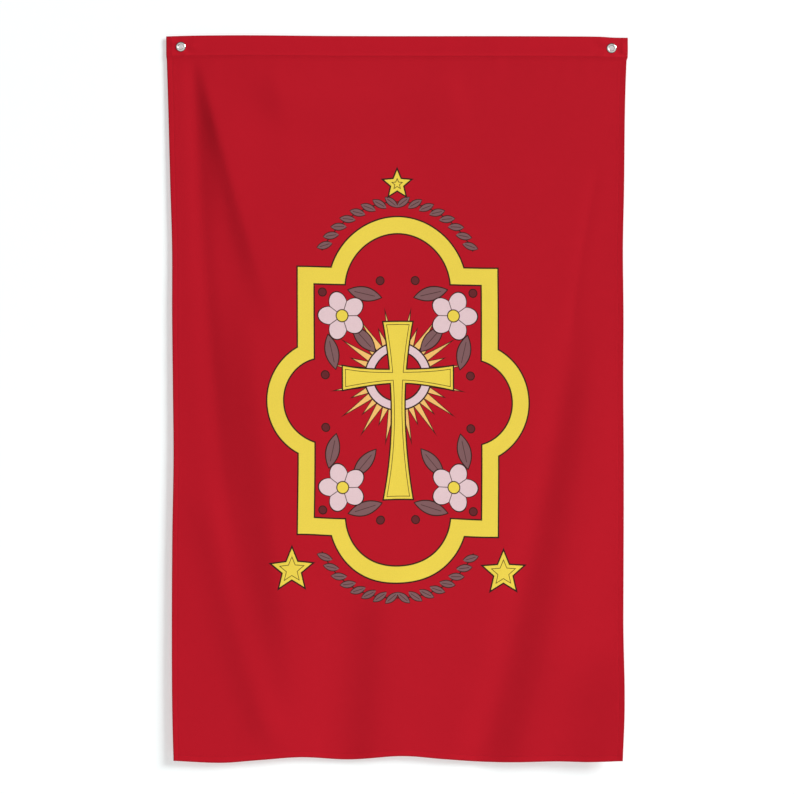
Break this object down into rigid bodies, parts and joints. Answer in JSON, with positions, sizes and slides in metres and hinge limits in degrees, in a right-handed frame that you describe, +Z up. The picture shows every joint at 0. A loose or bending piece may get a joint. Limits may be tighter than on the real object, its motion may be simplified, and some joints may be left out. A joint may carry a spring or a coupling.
{
  "type": "church banner",
  "caption": "Tall red cloth wall banner, hemmed all round, with a folded heading that hangs by metal eyelets near its top corners; shallow uneven folds run down it.",
  "frame": {"origin": "middle of the top edge, in the plane where the cloth would hang if it were flat", "axes": "+Z up the banner, +X to the right as its front is seen, +Y back to the wall"},
  "size_m": [0.876, 0.0234, 1.3806],
  "materials": {
    "red_cloth": "matt knitted polyester",
    "nickel": "polished nickel plate"
  },
  "bodies": {
    "root": {"panel": "red_cloth", "heading": "red_cloth", "eyelet_left": "nickel", "eyelet_right": "nickel", "washer_left": "nickel", "washer_right": "nickel"}
  },
  "joints": []
}
